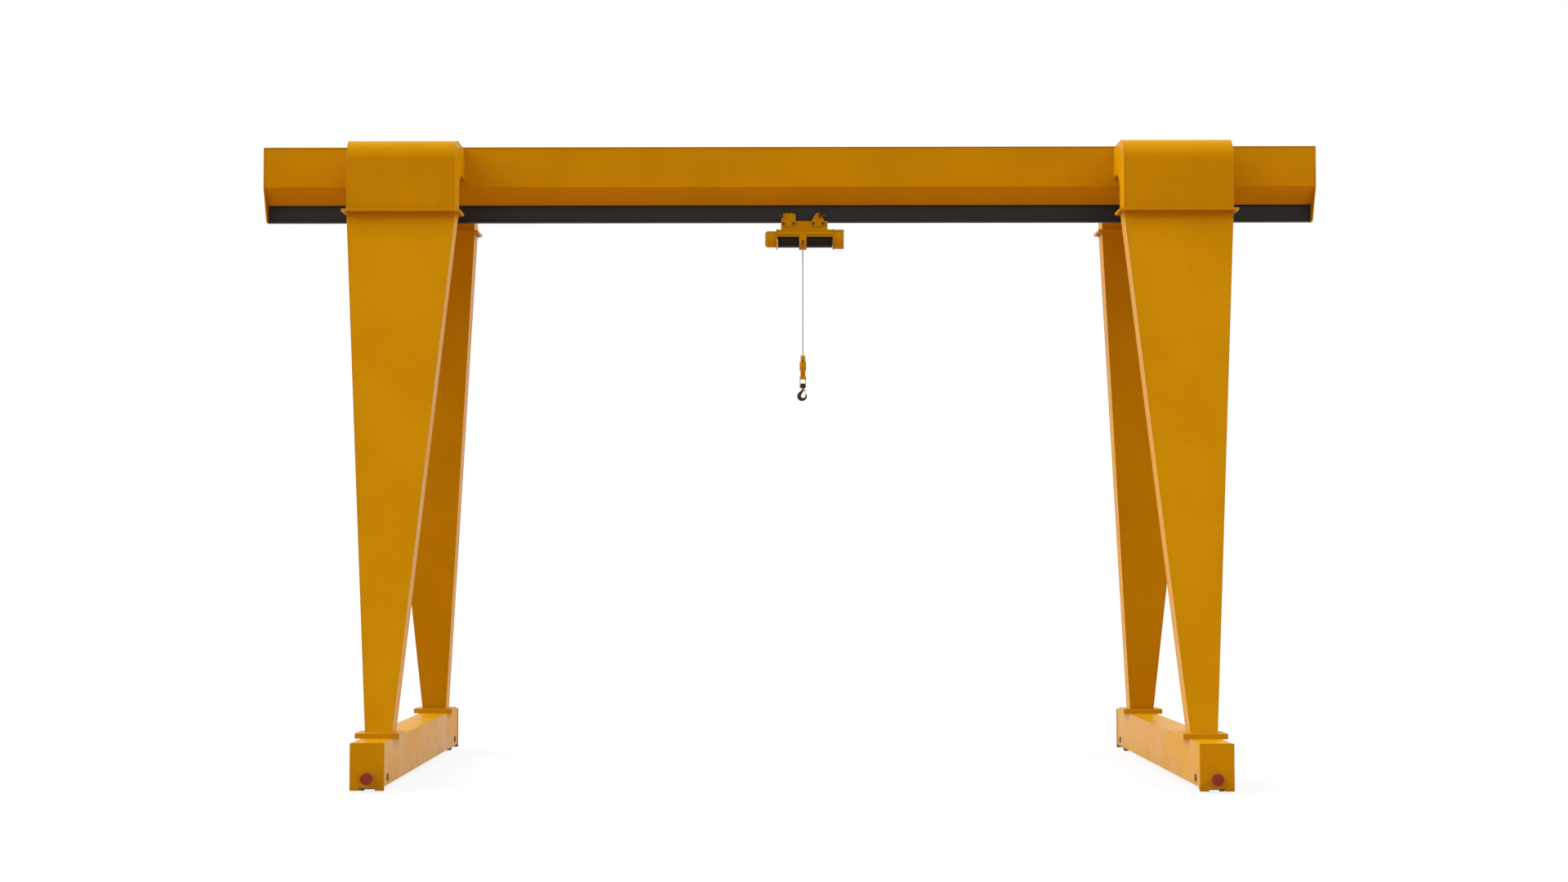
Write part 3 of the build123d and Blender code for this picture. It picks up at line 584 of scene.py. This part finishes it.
loft(form, rings)
drum = settle(form, "wound_drum", "drum", wound_rope, smooth=True)
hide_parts("rope_drum")

# Hoist rope: two falls of six-strand wire rope, one behind the other. They hang straight from
# the drum to the hook block.
FALL_Y = 0.132
ROPE_END = 6.445
STRANDS = 6
STRAND_R, STRAND_LAY_R = 0.0023, 0.0042
STEPS, TWIST_PER_STEP = 260, 22
wire_finish = Finish("rope_wire")
grease = wire_finish.mottle(60, 3.0, (1, 1, 0.3))
rope_wire = wire_finish.surface(
    Base_Color=wire_finish.blend(grease, (0.20, 0.18, 0.155, 1), (0.34, 0.32, 0.29, 1)),
    Metallic=0.5,
    Roughness=0.5,
)
form = bmesh.new()
for fall_y in (-FALL_Y, FALL_Y):
    for strand_number in range(STRANDS):
        rings = []
        for step in range(STEPS + 1):
            angle = math.tau * strand_number / STRANDS + math.radians(TWIST_PER_STEP * step)
            x = ROPE_X + STRAND_LAY_R * math.cos(angle)
            y = fall_y + STRAND_LAY_R * math.sin(angle)
            z = ROPE_END + (DRUM_Z - ROPE_END) * step / STEPS
            aims = [angle + math.tau * (0.25 + index / 5) for index in range(5)]
            ring = [(x + STRAND_R * math.cos(aim), y + STRAND_R * math.sin(aim), z) for aim in aims]
            rings.append(ring)
        loft(form, rings, closed=False)
rope = settle(form, "wire_rope", None, rope_wire, smooth=True)
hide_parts("hoist_rope")
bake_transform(rope)

# Hook block: a painted housing around the sheave, with straps that carry the crosshead. The
# sheave's pin is held by a screwed cap on each side.
paint_node("block_cover", yellow)
paint_node("block_straps", yellow)
paint_node("crosshead", dark_steel)
PIN_Z = 6.377
PIN_CAP_FACE = 0.049
PIN_SCREW_CIRCLE = 0.05
form = bmesh.new()
for out in (-1, 1):
    for step in range(4):
        angle = math.tau * (step + 0.5) / 4
        place = (
            ROPE_X + out * PIN_CAP_FACE,
            PIN_SCREW_CIRCLE * math.cos(angle),
            PIN_Z + PIN_SCREW_CIRCLE * math.sin(angle),
        )
        hexagon_heads(form, [place], radius=0.0065, height=0.005, facing=(out, 0, 0))
settle(form, "pin_cap_screws", "hook_block", black_oxide)

# Hook: one steel forging that turns in the crosshead. Its section is egg shaped and deepest at
# the bowl, where slings have polished the seat. A bent strip latch hangs across the mouth.
# These sizes are in millimetres: x from the rope's line and z from the floor.
SHANK_R = 14
SHANK_LEVELS = (6078, 6040, 6012, 6004)
BOWL_X, BOWL_Z, BOWL_R = 5, 5905, 34
BACK_X, BACK_Z, BACK_R = -13.8, 5897.1, 78.1
INNER_SWEEP, OUTER_SWEEP = (140, 235), (138, 236)
BOWL_STEPS = 24
BOWL_DEPTH, TIP_THINNING, THINS_FROM = 18, 5.5, 0.45
RING_POINTS = 20
# Each station has an inner point, an outer point and half the depth between the faces.
NECK = [
    ((12.5, 5992), (-17.5, 5999), 15),
    ((7.5, 5976), (-29, 5989), 16.5),
    ((-1, 5959), (-42, 5977), 17.5),
    ((-11, 5943), (-56, 5965), 18),
]
TIP = [
    ((39.5, 5921), (61, 5922), 11.5),
    ((42.5, 5927.5), (59, 5927.5), 9),
    ((46.5, 5931.3), (56, 5931.3), 5),
]
forged_finish = Finish("forged_steel")
forge_scale = forged_finish.mottle(26, 5.0)
flat_place = forged_finish.add(
    "ShaderNodeVectorMath", {"operation": "MULTIPLY"}, {0: forged_finish.place, 1: (1, 0, 1)}
)
from_bowl = forged_finish.add(
    "ShaderNodeVectorMath",
    {"operation": "DISTANCE"},
    {0: flat_place, 1: (ROPE_X + BOWL_X / 1000, 0, BOWL_Z / 1000)},
    out="Value",
)
near_bowl = forged_finish.fade(from_bowl, 0.044, 0.036)
seat = near_bowl * forged_finish.fade(forged_finish.axis("Z"), 5.9, 5.878)
forged_base = forged_finish.blend(forge_scale, (0.017, 0.0175, 0.016, 1), (0.033, 0.032, 0.028, 1))
forged_steel = forged_finish.surface(
    Base_Color=forged_finish.blend(seat * 0.7, forged_base, (0.17, 0.165, 0.155, 1)),
    Metallic=0.3 + 0.5 * seat,
    Roughness=0.42 + 0.2 * forge_scale - 0.12 * seat,
    Normal=forged_finish.bump(forged_finish.mottle(70, 4.0), 0.35, 0.001),
    Specular_IOR_Level=0.35,
)
stations = [((SHANK_R, z), (-SHANK_R, z), SHANK_R) for z in SHANK_LEVELS] + NECK
for step in range(BOWL_STEPS + 1):
    share = step / BOWL_STEPS
    inner_turn = math.radians(INNER_SWEEP[0] + INNER_SWEEP[1] * share)
    outer_turn = math.radians(OUTER_SWEEP[0] + OUTER_SWEEP[1] * share)
    inner = (BOWL_X + BOWL_R * math.cos(inner_turn), BOWL_Z + BOWL_R * math.sin(inner_turn))
    outer = (BACK_X + BACK_R * math.cos(outer_turn), BACK_Z + BACK_R * math.sin(outer_turn))
    depth = BOWL_DEPTH - TIP_THINNING * max(0, share - THINS_FROM) / (1 - THINS_FROM)
    stations.append((inner, outer, depth))
stations += TIP
rings = []
for index, (inner, outer, depth) in enumerate(stations):
    egg = 0.3 * min(1, max(0, index - 3) / 4)
    ring = []
    for turn in range(RING_POINTS):
        angle = math.tau * turn / RING_POINTS
        share = 0.5 - 0.5 * math.cos(angle)
        x = inner[0] + (outer[0] - inner[0]) * share
        z = inner[1] + (outer[1] - inner[1]) * share
        y = -depth * math.sin(angle) * (1 + egg * (0.2 - share))
        ring.append((ROPE_X + x / 1000, y / 1000, z / 1000))
    rings.append(ring)
form = bmesh.new()
loft(form, rings)
forging = settle(form, "forged_hook", "hook", forged_steel, smooth=True)
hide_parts("hook")
paint_node("hook_latch", yellow)

# Studio: a pale floor under soft light from two sides. The camera sees the floor and the
# surround as white, as the gloss of paint and steel does, and the floor keeps the soft shadow.
FLOOR_HALF = 240
BOUNCE, PALE = (0.54, 0.33, 0.16, 1), (0.95, 0.95, 0.95, 1)
FLOOR_GLOW = 0.86
AMBIENT = 0.44
SUN_SPREAD = 60
SUNS = (("key", 3.3, (0.9, 0.04, -0.62)), ("fill", 1.9, (-0.8, 0.04, -0.7)))
floor_form = bmesh.new()
bmesh.ops.create_grid(floor_form, x_segments=1, y_segments=1, size=FLOOR_HALF)
floor_mesh = bpy.data.meshes.new("floor")
floor_form.to_mesh(floor_mesh)
floor_form.free()
floor = bpy.data.objects.new("floor", floor_mesh)
bpy.context.scene.collection.objects.link(floor)
floor_finish = Finish("floor")
SHOWN_RAYS = ("Is Camera Ray", "Is Glossy Ray", "Is Transmission Ray")
rays = [floor_finish.add("ShaderNodeLightPath", out=kind) for kind in SHOWN_RAYS]
seen = rays[0] + rays[1] + rays[2]
tone = floor_finish.blend(seen, BOUNCE, PALE)
matt = floor_finish.add("ShaderNodeBsdfDiffuse", None, {"Color": tone})
glow = floor_finish.add("ShaderNodeEmission", None, {"Color": (1, 1, 1, 1), "Strength": 1.0})
shown = floor_finish.add("ShaderNodeMixShader", None, {0: seen * FLOOR_GLOW, 1: matt, 2: glow})
floor_finish.add("ShaderNodeOutputMaterial", None, {"Surface": shown})
floor_mesh.materials.append(floor_finish.material)

studio = bpy.data.worlds.new("studio")
bpy.context.scene.world = studio
surround = Finish("surround", world=studio)
rays = [surround.add("ShaderNodeLightPath", out=kind) for kind in SHOWN_RAYS]
seen = rays[0] + rays[1] + rays[2]
ambient = surround.add("ShaderNodeBackground", None, {"Color": (1, 1, 1, 1), "Strength": AMBIENT})
white = surround.add("ShaderNodeBackground", None, {"Color": (1, 1, 1, 1), "Strength": 1.0})
either = surround.add("ShaderNodeMixShader", None, {0: seen, 1: ambient, 2: white})
surround.add("ShaderNodeOutputWorld", None, {"Surface": either})
for name, energy, heading in SUNS:
    lamp = bpy.data.lights.new(name, "SUN")
    lamp.energy = energy
    lamp.angle = math.radians(SUN_SPREAD)
    holder = bpy.data.objects.new(name, lamp)
    holder.rotation_euler = Vector(heading).to_track_quat("-Z", "Y").to_euler()
    bpy.context.scene.collection.objects.link(holder)
